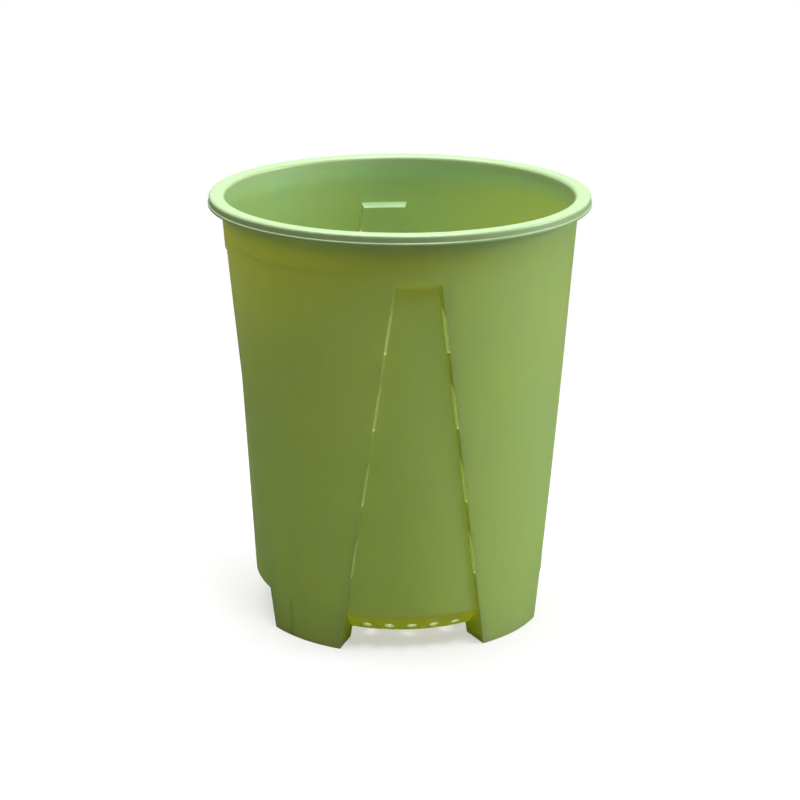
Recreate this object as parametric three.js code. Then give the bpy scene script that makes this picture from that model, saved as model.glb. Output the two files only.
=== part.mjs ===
// Flower pot with four slotted vent panels, a raised base and four hollow feet.
// The real pot is one moulding: each mesh here is a named part of its one thin shell.
// Millimetres, +Z up. The origin is on the ground on the pot's axis; the front vent panel faces -Y.

import * as THREE from "three";

// Main sizes of the pot
const RIM_DIAMETER = 160;
const HEIGHT = 182;
const BASE_DIAMETER = 105;
const WALL = 1.5;

// Outer wall: a cone that bows slightly inwards, from the feet up to the lip
const FOOT_REACH = 10.8;
const LIP_OVERHANG = 5.1;
const WALL_BOW = 0.6;

// Lip: a hollow roll with a flat crest that turns down into a short skirt with a bead along its lower edge
const LIP_HEIGHT = 4.2;
const LIP_CREST_INSET = 3.8;
const LIP_INNER_ROUNDING = 3;
const LIP_OUTER_ROUNDING = 1.2;
const BEAD_HEIGHT = 0.9;
const BEAD_DEPTH = 0.4;
const COLLAR_TO_LIP = 4;
const LIP_ARC_STEPS = 4;

// Vents: four panels set back in the wall, wide at the ground and narrow at the top
const VENT_COUNT = 4;
const VENT_TOP_BELOW_RIM = 21.6;
const VENT_HALF_WIDTH_GROUND = 30.1;
const VENT_HALF_WIDTH_TOP = 9.4;
const VENT_SIDE_ANGLE = THREE.MathUtils.degToRad(23);
const PANEL_DEPTH_TOP = 2.8;
const PANEL_DEPTH_BOTTOM = 1.7;
const CEILING_DROP = 1.8;

// Slots: upright openings that take the whole width of a vent's side walls
const SLOT_START = 33.3;
const SLOT_LENGTH = 17.3;
const SLOT_BRIDGE = 15.5;
const SLOT_TOP_MARGIN = 4;

// Base: a flat plate clear of the ground, with a chamfer with a row of holes below each panel
const BASE_CLEARANCE = 6.3;
const CHAMFER_HEIGHT = 9.3;
const CHAMFER_HOLE_DIAMETER = 4;
const CHAMFER_HOLE_PITCH = 9.45;
const CHAMFER_HOLE_RISE = 4.4;
const FOOT_SHOULDER = 1.5;

// Drain holes in the base plate: rings of round holes
const DRAIN_HOLE_DIAMETER = 4;
const DRAIN_HOLE_SPACING = 16;
const DRAIN_RING_STEP = 13.5;
const DRAIN_EDGE_MARGIN = 8.5;

// Facets
const STAVE_STEPS = 8;
const CHAMFER_HOLE_SIDES = 16;
const DRAIN_HOLE_SIDES = 12;

// Radii and heights that follow from the sizes above
const baseRadius = BASE_DIAMETER / 2;
const footRadius = baseRadius + FOOT_REACH;
const wallTopRadius = RIM_DIAMETER / 2 - LIP_OVERHANG;
const footInnerRadius = baseRadius - FOOT_SHOULDER - WALL;
const ventTop = HEIGHT - VENT_TOP_BELOW_RIM;
const panelTop = ventTop - CEILING_DROP;
const panelBottom = BASE_CLEARANCE + CHAMFER_HEIGHT;
const collarTop = HEIGHT - LIP_HEIGHT - COLLAR_TO_LIP;

function wallRadius(z) {
  const share = z / HEIGHT;
  const cone = footRadius + (wallTopRadius - footRadius) * share;
  return cone - 4 * WALL_BOW * share * (1 - share);
}

function ventHalfWidth(z) {
  return VENT_HALF_WIDTH_GROUND + (VENT_HALF_WIDTH_TOP - VENT_HALF_WIDTH_GROUND) * (z / ventTop);
}

// The panel is a straight cone, and the chamfer below it a steeper one
const panelBottomRadius = wallRadius(panelBottom) - PANEL_DEPTH_BOTTOM;
const panelTopRadius = wallRadius(panelTop) - PANEL_DEPTH_TOP;
const panelSlope = (panelTopRadius - panelBottomRadius) / (panelTop - panelBottom);
const chamferSlope = (panelBottomRadius - baseRadius) / CHAMFER_HEIGHT;
const chamferStretch = Math.hypot(1, chamferSlope);

const OUTSIDE = "outside";
const INSIDE = "inside";
const offset = { [OUTSIDE]: 0, [INSIDE]: WALL };

// Radius of the panel, or of the chamfer below it, on the outside or the inside of the shell
function recessRadius(z, surface) {
  const panel = panelBottomRadius + panelSlope * (z - panelBottom) - offset[surface];
  const chamfer = baseRadius + chamferSlope * (z - BASE_CLEARANCE) - offset[surface] * chamferStretch;
  return Math.min(panel, chamfer);
}

// Angle, from the vent's middle line, at which its side wall crosses a radius
function sideAngle(z, radius, surface) {
  const halfWidth = ventHalfWidth(z);
  const cos = Math.cos(VENT_SIDE_ANGLE);
  const sin = Math.sin(VENT_SIDE_ANGLE);
  const along = Math.sqrt(wallRadius(z) ** 2 - halfWidth ** 2) - offset[surface] * sin;
  const across = halfWidth + offset[surface] * cos;
  const middle = along * cos + across * sin;
  const step = Math.sqrt(middle ** 2 - along ** 2 - across ** 2 + radius ** 2) - middle;
  return Math.atan2(across + step * sin, along + step * cos);
}

// Levels of the shell from the ground up: heights on its outside and on its inside
const chamferShift = WALL * chamferSlope / chamferStretch;
const holeHeight = BASE_CLEARANCE + CHAMFER_HOLE_RISE / chamferStretch;
const panelInnerBottom = panelBottom + WALL * (chamferStretch - 1) / (chamferSlope - panelSlope);
const ceilingSlope = CEILING_DROP / (wallRadius(ventTop) - panelTopRadius);
const ceilingLift = WALL * (Math.hypot(1, ceilingSlope) - ceilingSlope);

const slotPitch = SLOT_LENGTH + SLOT_BRIDGE;
const slotCount = Math.floor((panelTop - SLOT_TOP_MARGIN - SLOT_START + SLOT_BRIDGE) / slotPitch);
const slotHeights = Array.from({ length: slotCount }, (_, i) => SLOT_START + i * slotPitch);

function heights(outside, inside = outside) {
  return { [OUTSIDE]: outside, [INSIDE]: inside };
}

const levels = [
  heights(0, WALL),
  heights(BASE_CLEARANCE, BASE_CLEARANCE + WALL),
  heights(holeHeight, holeHeight + chamferShift),
  heights(panelBottom, panelInnerBottom),
];
const [GROUND, BASE, HOLES, PANEL_BOTTOM] = levels.keys();
const slotLevels = [];
for (const height of slotHeights) {
  slotLevels.push(levels.length);
  levels.push(heights(height), heights(height + SLOT_LENGTH));
}
const TOP = levels.length;
levels.push(heights(ventTop, ventTop + ceilingLift));
const panelTopLevel = heights(panelTop, panelTop + ceilingLift);

// Each point of the shell is a pair, on its outside and on its inside, made once and then shared
const pairs = [];
const pairNumbers = new Map();

function pair(name, place) {
  if (!pairNumbers.has(name)) {
    pairNumbers.set(name, pairs.length);
    pairs.push({ [OUTSIDE]: place(OUTSIDE), [INSIDE]: place(INSIDE) });
  }
  return pairNumbers.get(name);
}

function polar(radius, angle, z) {
  return new THREE.Vector3(radius * Math.cos(angle), radius * Math.sin(angle), z);
}

const ventTurn = (2 * Math.PI) / VENT_COUNT;

function ventAngle(vent) {
  return -Math.PI / 2 + vent * ventTurn;
}

function cornerAngle(level, surface) {
  const z = levels[level][surface];
  return sideAngle(z, wallRadius(z) - offset[surface], surface);
}

// Outer wall between vent `stave` and the next one; its end points are the edges of those vents
function wallPoint(stave, step, level) {
  const next = (stave + 1) % VENT_COUNT;
  if (step === 0) return edgePoint(stave, 1, level);
  if (step === STAVE_STEPS) return edgePoint(next, -1, level);
  return pair(`wall ${stave} ${step} ${level}`, (surface) => {
    const z = levels[level][surface];
    const corner = cornerAngle(level, surface);
    const turn = corner + (ventTurn - 2 * corner) * (step / STAVE_STEPS);
    return polar(wallRadius(z) - offset[surface], ventAngle(stave) + turn, z);
  });
}

// Where a vent's side wall meets the outer wall
function edgePoint(vent, side, level) {
  return pair(`edge ${vent} ${side} ${level}`, (surface) => {
    const z = levels[level][surface];
    return polar(wallRadius(z) - offset[surface], ventAngle(vent) + side * cornerAngle(level, surface), z);
  });
}

// The holes of a chamfer decide how its panel is divided: two steps for each and one at each end
const holeRadius = recessRadius(holeHeight, OUTSIDE);
const holeArc = holeRadius * sideAngle(holeHeight, holeRadius, OUTSIDE);
const holeCount = Math.floor((2 * holeArc) / CHAMFER_HOLE_PITCH);
const PANEL_SIDE = holeCount + 1;

function panelShare(step) {
  return Math.abs(step) === PANEL_SIDE ? Math.sign(step) : (step * CHAMFER_HOLE_PITCH) / 2 / holeArc;
}

function recessHeight(level, surface) {
  return level === TOP ? panelTopLevel[surface] : levels[level][surface];
}

// Panel and chamfer, stepped from one side wall (-PANEL_SIDE) to the other (PANEL_SIDE)
function panelPoint(vent, step, level) {
  return pair(`panel ${vent} ${step} ${level}`, (surface) => {
    const z = recessHeight(level, surface);
    const radius = recessRadius(z, surface);
    return polar(radius, ventAngle(vent) + panelShare(step) * sideAngle(z, radius, surface), z);
  });
}

// Lower edge of the collar above a vent, with the panel's own steps
function archPoint(vent, step) {
  if (Math.abs(step) === PANEL_SIDE) return edgePoint(vent, Math.sign(step), TOP);
  return pair(`arch ${vent} ${step}`, (surface) => {
    const z = levels[TOP][surface];
    const turn = panelShare(step) * cornerAngle(TOP, surface);
    return polar(wallRadius(z) - offset[surface], ventAngle(vent) + turn, z);
  });
}

// Inner wall of a foot, which faces the pot's axis below the base
function footPoint(foot, step, level) {
  return pair(`foot ${foot} ${step} ${level}`, (surface) => {
    const z = levels[level][surface];
    const radius = footInnerRadius + offset[surface];
    const corner = sideAngle(z, radius, surface);
    const turn = corner + (ventTurn - 2 * corner) * (step / STAVE_STEPS);
    return polar(radius, ventAngle(foot) + turn, z);
  });
}

// Quads between two rows of points, the lower row first, seen from outside the pot
function strip(lower, upper) {
  return lower.slice(1).map((point, i) => [lower[i], point, upper[i + 1], upper[i]]);
}

function range(first, last) {
  return Array.from({ length: last - first + 1 }, (_, i) => first + i);
}

const staveSteps = range(0, STAVE_STEPS);
const panelSteps = range(-PANEL_SIDE, PANEL_SIDE);

function wallRow(stave, level) {
  return staveSteps.map((step) => wallPoint(stave, step, level));
}

function footRow(foot, level) {
  return staveSteps.map((step) => footPoint(foot, step, level));
}

function panelRow(vent, level) {
  return panelSteps.map((step) => panelPoint(vent, step, level));
}

// Side wall of a vent between two levels
function sideWall(vent, side, level) {
  const inner = [panelPoint(vent, side * PANEL_SIDE, level), panelPoint(vent, side * PANEL_SIDE, level + 1)];
  const outer = [edgePoint(vent, side, level), edgePoint(vent, side, level + 1)];
  return side > 0
    ? [inner[0], outer[0], outer[1], inner[1]]
    : [outer[0], inner[0], inner[1], outer[1]];
}

// Closes faces of the shell into one solid: outside, inside and a rim along every open edge
function thicken(faces, flatFaces = []) {
  const positions = [];
  const triangles = [];
  const numbers = new Map();

  function vertex(point, surface) {
    const key = `${point} ${surface}`;
    if (!numbers.has(key)) {
      numbers.set(key, positions.length / 3);
      positions.push(...pairs[point][surface].toArray());
    }
    return numbers.get(key);
  }

  const edges = new Map();
  const loops = [...faces, ...flatFaces.flatMap(({ outline, holes }) => [outline, ...holes])];
  for (const loop of loops) {
    loop.forEach((from, i) => {
      const to = loop[(i + 1) % loop.length];
      edges.set(`${from} ${to}`, [from, to]);
    });
  }

  for (const face of faces) {
    for (let i = 1; i < face.length - 1; i += 1) {
      const corners = [face[0], face[i], face[i + 1]];
      triangles.push(corners.map((point) => vertex(point, OUTSIDE)));
      triangles.push(corners.map((point) => vertex(point, INSIDE)).reverse());
    }
  }

  for (const { outline, holes } of flatFaces) {
    const points = [outline, ...holes].flat();
    for (const surface of [OUTSIDE, INSIDE]) {
      const flat = (loop) => loop.map((point) => new THREE.Vector2().copy(pairs[point][surface]));
      for (const corners of THREE.ShapeUtils.triangulateShape(flat(outline), holes.map(flat))) {
        const [a, b, c] = corners.map((corner) => pairs[points[corner]][surface]);
        const facesUp = (b.x - a.x) * (c.y - a.y) - (b.y - a.y) * (c.x - a.x) > 0;
        const triangle = corners.map((corner) => vertex(points[corner], surface));
        triangles.push(facesUp === (surface === INSIDE) ? triangle : triangle.reverse());
      }
    }
  }

  for (const [from, to] of edges.values()) {
    if (edges.has(`${to} ${from}`)) continue;
    const quad = [vertex(from, INSIDE), vertex(to, INSIDE), vertex(to, OUTSIDE), vertex(from, OUTSIDE)];
    if (from > to) quad.push(quad.shift());
    triangles.push([quad[0], quad[1], quad[2]], [quad[0], quad[2], quad[3]]);
  }
  return geometryOf(positions, triangles);
}

function geometryOf(positions, triangles) {
  const geometry = new THREE.BufferGeometry();
  geometry.setAttribute("position", new THREE.Float32BufferAttribute(positions, 3));
  geometry.setIndex(triangles.flat());
  geometry.computeVertexNormals();
  return geometry;
}

// One round hole in a chamfer, in a block two steps wide that reaches from the base to the panel
function chamferHoleFaces(vent, middle) {
  const block = [
    [1, HOLES], [1, PANEL_BOTTOM], [0, PANEL_BOTTOM], [-1, PANEL_BOTTOM],
    [-1, HOLES], [-1, BASE], [0, BASE], [1, BASE],
  ].map(([step, level]) => panelPoint(vent, middle + step, level));
  const perSide = CHAMFER_HOLE_SIDES / block.length;
  const turn = panelShare(middle) * sideAngle(holeHeight, holeRadius, OUTSIDE);

  const rim = range(0, CHAMFER_HOLE_SIDES - 1).map((corner) =>
    pair(`chamfer hole ${vent} ${middle} ${corner}`, (surface) => {
      const around = (2 * Math.PI * corner) / CHAMFER_HOLE_SIDES;
      const upSlope = (CHAMFER_HOLE_DIAMETER / 2) * Math.sin(around);
      const sideways = (CHAMFER_HOLE_DIAMETER / 2) * Math.cos(around);
      const z = levels[HOLES][surface] + upSlope / chamferStretch;
      const radius = recessRadius(z, surface);
      return polar(radius, ventAngle(vent) + turn + sideways / holeRadius, z);
    }));

  return block.map((corner, i) => {
    const arc = range(i * perSide, (i + 1) * perSide).map((step) => rim[step % CHAMFER_HOLE_SIDES]);
    return [corner, block[(i + 1) % block.length], ...arc.reverse()];
  });
}

function ventPanel(vent) {
  const faces = [];
  for (let level = PANEL_BOTTOM; level < TOP; level += 1) {
    faces.push(...strip(panelRow(vent, level), panelRow(vent, level + 1)));
    if (!slotLevels.includes(level)) faces.push(sideWall(vent, -1, level), sideWall(vent, 1, level));
  }
  faces.push(...strip(panelRow(vent, TOP), panelSteps.map((step) => archPoint(vent, step))));

  for (const level of [BASE, HOLES]) {
    const lower = panelRow(vent, level);
    const upper = panelRow(vent, level + 1);
    faces.push(...strip(lower.slice(0, 2), upper.slice(0, 2)), ...strip(lower.slice(-2), upper.slice(-2)));
  }
  for (let hole = 0; hole < holeCount; hole += 1) {
    faces.push(...chamferHoleFaces(vent, 2 * hole + 1 - holeCount));
  }
  return thicken(faces);
}

function wallStave(stave) {
  const faces = [];
  for (let level = PANEL_BOTTOM; level < TOP; level += 1) {
    faces.push(...strip(wallRow(stave, level), wallRow(stave, level + 1)));
  }
  return thicken(faces);
}

function foot(number) {
  const next = (number + 1) % VENT_COUNT;
  const faces = [];
  for (let level = GROUND; level < PANEL_BOTTOM; level += 1) {
    faces.push(...strip(wallRow(number, level), wallRow(number, level + 1)));
  }
  for (const level of [BASE, HOLES]) {
    faces.push(sideWall(number, 1, level), sideWall(next, -1, level));
  }
  faces.push(...strip(footRow(number, GROUND), wallRow(number, GROUND)));
  faces.push(...strip(footRow(number, BASE), footRow(number, GROUND)));

  const [first, last] = [0, STAVE_STEPS];
  faces.push([
    footPoint(number, first, GROUND), wallPoint(number, first, GROUND), wallPoint(number, first, BASE),
    panelPoint(number, PANEL_SIDE, BASE), footPoint(number, first, BASE),
  ]);
  faces.push([
    wallPoint(number, last, GROUND), footPoint(number, last, GROUND), footPoint(number, last, BASE),
    panelPoint(next, -PANEL_SIDE, BASE), wallPoint(number, last, BASE),
  ]);
  return thicken(faces);
}

function drainHole(ring, hole, radius, angle) {
  return range(0, DRAIN_HOLE_SIDES - 1).map((corner) =>
    pair(`drain ${ring} ${hole} ${corner}`, (surface) => {
      const around = (2 * Math.PI * corner) / DRAIN_HOLE_SIDES;
      const edge = polar(DRAIN_HOLE_DIAMETER / 2, around, levels[BASE][surface]);
      return edge.add(polar(radius, angle, 0));
    }));
}

// Flat plate of the base: its outline runs along the feet and the chamfers, seen from below
function basePlate() {
  const outline = range(0, VENT_COUNT - 1)
    .flatMap((vent) => [...panelRow(vent, BASE), ...footRow(vent, BASE)])
    .reverse();
  const holes = [];
  const outerRing = footInnerRadius - DRAIN_EDGE_MARGIN;
  const ringCount = Math.floor((outerRing - DRAIN_HOLE_DIAMETER) / DRAIN_RING_STEP) + 1;
  for (let ring = 0; ring < ringCount; ring += 1) {
    const radius = outerRing - ring * DRAIN_RING_STEP;
    const count = VENT_COUNT * Math.floor((ventTurn * radius) / DRAIN_HOLE_SPACING);
    for (let hole = 0; hole < count; hole += 1) {
      holes.push(drainHole(ring, hole, radius, (2 * Math.PI * hole) / count));
    }
  }
  return thicken([], [{ outline, holes }]);
}

// Points around the pot at the lower edge of the collar, all on the outer wall
const ring = range(0, VENT_COUNT - 1).flatMap((vent) => [
  ...panelSteps.slice(0, -1).map((step) => archPoint(vent, step)),
  ...wallRow(vent, TOP).slice(0, -1),
]);
const ringAngles = ring.map((point) => {
  const { x, y } = pairs[point][OUTSIDE];
  return Math.atan2(y, x);
});

function collar() {
  const upper = ringAngles.map((angle, i) =>
    pair(`collar ${i}`, (surface) => polar(wallRadius(collarTop) - offset[surface], angle, collarTop)));
  return thicken(strip([...ring, ring[0]], [...upper, upper[0]]));
}

// Quarter of an ellipse about a centre, from one angle to another, without its last point
function arc(centre, halfWidth, halfHeight, from, to, steps = LIP_ARC_STEPS) {
  return range(0, steps - 1).map((i) => {
    const angle = from + (to - from) * (i / steps);
    return [centre[0] + halfWidth * Math.cos(angle), centre[1] + halfHeight * Math.sin(angle)];
  });
}

// Section of the lip as radius and height, anticlockwise with the radius to the right
function lipSection() {
  const outer = RIM_DIAMETER / 2;
  const skirtBottom = HEIGHT - LIP_HEIGHT;
  const skirtFace = outer - BEAD_DEPTH;
  const crest = outer - LIP_CREST_INSET;
  const crestEdge = skirtFace - LIP_OUTER_ROUNDING;
  const shoulder = HEIGHT - LIP_INNER_ROUNDING;
  const wallFace = wallRadius(skirtBottom);
  const throatFace = wallFace - WALL;
  const hollow = (wallFace + skirtFace - WALL) / 2;
  const hollowHalf = (skirtFace - WALL - wallFace) / 2;
  const hollowRise = LIP_INNER_ROUNDING - WALL;
  const quarter = Math.PI / 2;
  return [
    [wallRadius(collarTop) - WALL, collarTop],
    [wallRadius(collarTop), collarTop],
    [wallFace, skirtBottom],
    ...arc([hollow, shoulder], hollowHalf, hollowRise, 2 * quarter, 0, 2 * LIP_ARC_STEPS - 2),
    [hollow + hollowHalf, shoulder],
    [hollow + hollowHalf, skirtBottom],
    [outer, skirtBottom],
    [outer, skirtBottom + BEAD_HEIGHT],
    [skirtFace, skirtBottom + BEAD_HEIGHT + BEAD_DEPTH],
    ...arc([crestEdge, HEIGHT - LIP_OUTER_ROUNDING], LIP_OUTER_ROUNDING, LIP_OUTER_ROUNDING, 0, quarter),
    [crestEdge, HEIGHT],
    ...arc([crest, shoulder], crest - throatFace, LIP_INNER_ROUNDING, quarter, 2 * quarter),
    [throatFace, shoulder],
  ];
}

function rim() {
  const section = lipSection();
  const points = ringAngles.flatMap((angle) => section.map(([radius, z]) => polar(radius, angle, z)));
  const positions = points.flatMap((point) => point.toArray());
  const triangles = [];
  ringAngles.forEach((_, i) => {
    const here = i * section.length;
    const there = ((i + 1) % ringAngles.length) * section.length;
    section.forEach((__, k) => {
      const next = (k + 1) % section.length;
      triangles.push([here + k, there + k, there + next], [here + k, there + next, here + next]);
    });
  });
  return geometryOf(positions, triangles);
}

// Olive green polypropylene; the parts of the moulding differ only in how the light takes them
function plastic() {
  return new THREE.MeshStandardMaterial({
    color: new THREE.Color(0.36, 0.46, 0.19),
    roughness: 0.42,
    metalness: 0,
    flatShading: true,
  });
}

const pot = new THREE.Group();

function addPart(name, geometry) {
  const mesh = new THREE.Mesh(geometry, plastic());
  mesh.name = name;
  pot.add(mesh);
}

addPart("rim", rim());
addPart("collar", collar());
addPart("base_plate", basePlate());
["front", "right", "back", "left"].forEach((side, i) => addPart(`vent_panel_${side}`, ventPanel(i)));
["front_right", "back_right", "back_left", "front_left"].forEach((corner, i) => {
  addPart(`wall_stave_${corner}`, wallStave(i));
  addPart(`foot_${corner}`, foot(i));
});

export default pot;
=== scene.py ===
# %% [markdown]
# # A vented flower pot, moulded in one shell
#
# The object is a root-control flower pot: a tapered plastic tub with four panels set back in its wall,
# slots along the sides of each panel, a raised base full of drain holes, four hollow feet and a rolled lip.
# It is a single injection moulding, so everything here is one wall, 1.5 mm thick, that folds in and out.
#
# The lesson builds that wall as one sheet of numbers, rounds its edges, cuts it into named pieces that stand
# for the CAD nodes, and gives them a plastic finish. The CAD model comes first, as a fixed frame.

import math

import bmesh
import bpy
import numpy as np
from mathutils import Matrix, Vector
from mathutils.geometry import delaunay_2d_cdt


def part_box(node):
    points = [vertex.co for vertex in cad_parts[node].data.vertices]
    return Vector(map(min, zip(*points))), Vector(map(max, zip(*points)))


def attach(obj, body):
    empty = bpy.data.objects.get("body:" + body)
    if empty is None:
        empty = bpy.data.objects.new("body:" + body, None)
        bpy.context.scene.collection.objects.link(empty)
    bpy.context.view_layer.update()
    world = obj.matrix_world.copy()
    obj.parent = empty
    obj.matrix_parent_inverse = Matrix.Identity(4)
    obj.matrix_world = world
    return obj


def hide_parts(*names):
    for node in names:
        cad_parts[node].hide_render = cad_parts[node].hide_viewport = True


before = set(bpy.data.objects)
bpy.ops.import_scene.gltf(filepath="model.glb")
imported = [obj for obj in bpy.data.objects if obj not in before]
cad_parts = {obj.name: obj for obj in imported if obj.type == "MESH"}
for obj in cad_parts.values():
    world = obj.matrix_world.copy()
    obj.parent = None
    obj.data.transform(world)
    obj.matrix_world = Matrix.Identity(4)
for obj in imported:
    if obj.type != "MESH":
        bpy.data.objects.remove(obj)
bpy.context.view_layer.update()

# %% [markdown]
# ## Sizes
#
# Main sizes are read from the CAD nodes, so the visual shell always fits the frame. The rest are the same
# driving sizes as the CAD part's, in millimetres. The shape is worked out in millimetres and is turned into
# metres once, where a mesh is made.

# %% Sizes
MM = 0.001

rim_low, rim_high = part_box("rim")
base_low, base_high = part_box("base_plate")
HEIGHT = rim_high.z / MM
RIM_RADIUS = rim_high.x / MM
COLLAR_TOP = rim_low.z / MM
VENT_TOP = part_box("collar")[0].z / MM
PANEL_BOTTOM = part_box("wall_stave_front_right")[0].z / MM
BASE_CLEARANCE = base_low.z / MM
BASE_RADIUS = base_high.x / MM
WALL = (base_high.z - base_low.z) / MM

FOOT_FLARE = 10.8
FOOT_INSET = 1.5
LIP_OVERHANG = 5.1
FOOT_RADIUS = BASE_RADIUS + FOOT_FLARE
FOOT_INNER_RADIUS = BASE_RADIUS - FOOT_INSET - WALL
WALL_TOP_RADIUS = RIM_RADIUS - LIP_OVERHANG
WALL_BOW = 0.6

VENTS = 4
VENT_HALF_WIDTH_GROUND = 30.1
VENT_HALF_WIDTH_TOP = 9.4
VENT_SIDE_ANGLE = math.radians(23)
PANEL_DEPTH_TOP = 2.8
PANEL_DEPTH_BOTTOM = 1.7
CEILING_DROP = 1.8
PANEL_TOP = VENT_TOP - CEILING_DROP

SLOTS = 4
FIRST_SLOT = 33.3
SLOT_PITCH = 32.8
SLOT_STARTS = FIRST_SLOT + SLOT_PITCH * np.arange(SLOTS)
SLOT_LENGTH = 17.3
SLOT_SLANT = 1.6

CHAMFER_HOLES = 5
CHAMFER_HOLE_RADIUS = 2.0
CHAMFER_HOLE_PITCH = 9.45
CHAMFER_HOLE_RISE = 4.4

print(f"Pot {2 * RIM_RADIUS:.0f} mm across, {HEIGHT:.0f} mm high, wall {WALL:.1f} mm")

# %% [markdown]
# ## The wall's radii
#
# Seen from the side the outer wall is a cone with a slight inward bow, and a panel is a straight cone a
# little further in, with a chamfer below it that leans more. Curves could be drawn and sampled instead, but
# functions of height keep every later row exact. The `depth` argument is 0 on the outside of the shell and
# one wall thickness on its inside.


# %% Radii of wall and recess
def wall_radius(z):
    """Outer wall: a straight cone from foot to lip, less a parabola that is deepest at half height."""
    share = z / HEIGHT
    cone = FOOT_RADIUS + (WALL_TOP_RADIUS - FOOT_RADIUS) * share
    return cone - 4 * WALL_BOW * share * (1 - share)


PANEL_BOTTOM_RADIUS = wall_radius(PANEL_BOTTOM) - PANEL_DEPTH_BOTTOM
PANEL_TOP_RADIUS = wall_radius(PANEL_TOP) - PANEL_DEPTH_TOP
PANEL_SLOPE = (PANEL_TOP_RADIUS - PANEL_BOTTOM_RADIUS) / (PANEL_TOP - PANEL_BOTTOM)
CHAMFER_SLOPE = (PANEL_BOTTOM_RADIUS - BASE_RADIUS) / (PANEL_BOTTOM - BASE_CLEARANCE)
CHAMFER_STRETCH = math.hypot(1, CHAMFER_SLOPE)


def recess_radius(z, depth):
    """Panel or chamfer, whichever is nearer the pot's axis at that height."""
    panel = PANEL_BOTTOM_RADIUS + PANEL_SLOPE * (z - PANEL_BOTTOM) - depth
    chamfer = BASE_RADIUS + CHAMFER_SLOPE * (z - BASE_CLEARANCE) - depth * CHAMFER_STRETCH
    return np.minimum(panel, chamfer)


print(f"Outer radius {wall_radius(0):.1f} mm at the ground and {wall_radius(HEIGHT):.1f} mm at the top")


# %% Angle of a vent's side wall
def side_angle(z, radius, depth):
    """Angle from a vent's middle line to its side wall, at a height and a radius.

    In plan the side wall is a straight line: it starts on the outer wall at the vent's half width and runs
    inwards at VENT_SIDE_ANGLE. The line meets the circle of the given radius where |start + step * direction|
    equals that radius, which is a quadratic in step.
    """
    half = VENT_HALF_WIDTH_GROUND + (VENT_HALF_WIDTH_TOP - VENT_HALF_WIDTH_GROUND) * z / VENT_TOP
    cos, sin = math.cos(VENT_SIDE_ANGLE), math.sin(VENT_SIDE_ANGLE)
    along = np.sqrt(wall_radius(z) ** 2 - half**2) - depth * sin
    across = half + depth * cos
    middle = along * cos + across * sin
    step = np.sqrt(middle**2 - along**2 - across**2 + radius**2) - middle
    return np.arctan2(across + step * sin, along + step * cos)


print(f"Vent half angle: {math.degrees(side_angle(0, wall_radius(0), 0)):.1f} degrees at the ground,",
      f"{math.degrees(side_angle(VENT_TOP, wall_radius(VENT_TOP), 0)):.1f} at its top")

# %% [markdown]
# ## Two meridians
#
# A meridian is the path that a plane through the axis cuts from the shell. This pot has two kinds. Up a panel
# it runs along the base, up the chamfer, round a soft bend, up the panel and out under the ceiling. Up a foot
# it dips to the ground, crosses the sole and climbs the outer wall. Both are lists of radius and height with
# the same number of rows, so the straight side walls between them can be spun from row to row.


# %% Rounded paths
def rounded(corners, steps=4):
    """Path through corners (x, y, radius). A corner with a radius becomes an arc that touches both its sides.

    The arc is a spherical interpolation between the two spokes from its centre to its ends.
    """
    path = []
    for i, (x, y, radius) in enumerate(corners):
        here = np.array([x, y])
        if not radius:
            path.append(here[None])
            continue
        back, ahead = (np.array(corners[k][:2]) - here for k in (i - 1, i + 1))
        back, ahead = back / np.linalg.norm(back), ahead / np.linalg.norm(ahead)
        half = math.acos(back @ ahead) / 2
        centre = here + (back + ahead) / np.linalg.norm(back + ahead) * radius / math.sin(half)
        start, end = (here + side * radius / math.tan(half) - centre for side in (back, ahead))
        turn = math.pi - 2 * half
        share = np.linspace(0, 1, steps + 1)[:, None]
        arc = np.sin((1 - share) * turn) * start + np.sin(share * turn) * end
        path.append(centre + arc / math.sin(turn))
    return np.concatenate(path)


def climb(stops, cells):
    """Even steps from stop to stop, each stretch with its own number of cells, without the first stop."""
    return np.concatenate([np.linspace(a, b, n + 1)[1:] for a, b, n in zip(stops, stops[1:], cells)])


# %% Rows of the meridians
# A hole's edge is the ring of points HOLE_RING cells from its middle, and its block is one ring larger. Two
# rows lie before the block, on the base and at the chamfer's foot, and three on the inner side of a foot.
HOLE_RING = 4
BLOCK = HOLE_RING + 1
BLOCK_FIRST_ROW = 2
COLUMNS_PER_HOLE = 16
GRID_STEP = CHAMFER_HOLE_PITCH / COLUMNS_PER_HOLE
ROWS_ABOVE_HOLES = [9.0, 10.7]
BEND_RADIUS = 3.0
BEND_STEPS = 4
FOOT_INNER_POINTS = 3
SOLE_CELLS = 6
ROW_HEIGHT = 4.0
EDGE_MARGIN = 1.5
COLLAR_CELLS = 4

chamfer_along = np.array([CHAMFER_SLOPE, 1]) / CHAMFER_STRETCH
chamfer_inward = np.array([-1, CHAMFER_SLOPE]) / CHAMFER_STRETCH
chamfer_foot = np.array([BASE_RADIUS, BASE_CLEARANCE])
ceiling_slope = CEILING_DROP / (wall_radius(VENT_TOP) - PANEL_TOP_RADIUS)
ceiling_lift = math.hypot(1, ceiling_slope) - ceiling_slope

block_rows = CHAMFER_HOLE_RISE + GRID_STEP * np.arange(-BLOCK, BLOCK + 1)
chamfer_rows = np.append(block_rows, ROWS_ABOVE_HOLES)
FIRST_WALL_ROW = BLOCK_FIRST_ROW + len(chamfer_rows) + BEND_STEPS

slot_stops = [stop for start in SLOT_STARTS for stop in (start, start + SLOT_LENGTH)]
wall_stops = [PANEL_BOTTOM, *slot_stops, PANEL_TOP]
wall_cells = [math.ceil((b - a) / ROW_HEIGHT) for a, b in zip(wall_stops, wall_stops[1:])]
print(f"{FIRST_WALL_ROW} rows below the wall, then {sum(wall_cells)} cells up to the ceiling")


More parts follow.
